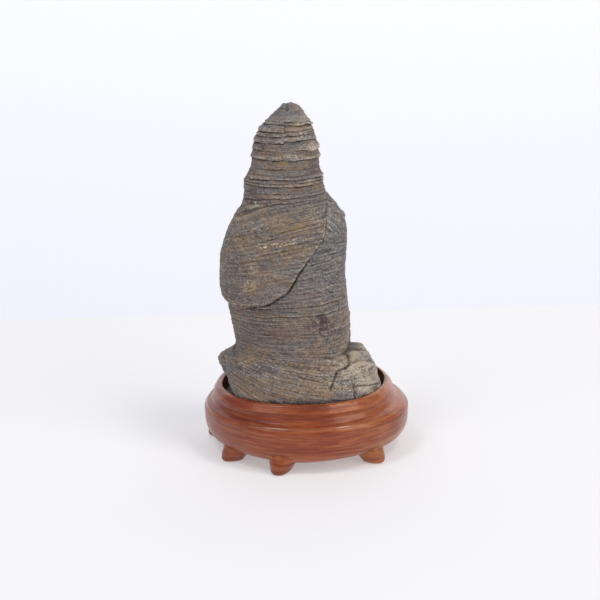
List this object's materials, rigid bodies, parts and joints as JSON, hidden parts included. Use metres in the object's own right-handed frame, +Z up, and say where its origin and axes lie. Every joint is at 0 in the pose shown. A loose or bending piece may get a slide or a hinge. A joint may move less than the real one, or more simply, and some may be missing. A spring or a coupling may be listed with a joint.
{
  "type": "scholars rock on wood stand",
  "caption": "Upright natural striated stone like a robed figure, standing in the fitted recess of an oval carved wood stand with short feet.",
  "frame": {"origin": "on the surface that the stand's feet rest on, under the middle of the whole object's plan", "axes": "+Z up along the stone, -Y towards the front, where the robe-like layer parts, +X to the right as seen from the front"},
  "size_m": [0.1032, 0.0912, 0.1752],
  "materials": {
    "rock": "dry natural bedded limestone, matt",
    "stand": "oiled and waxed rosewood, satin"
  },
  "bodies": {
    "root": {"rock": "rock", "stand": "stand"}
  },
  "joints": []
}
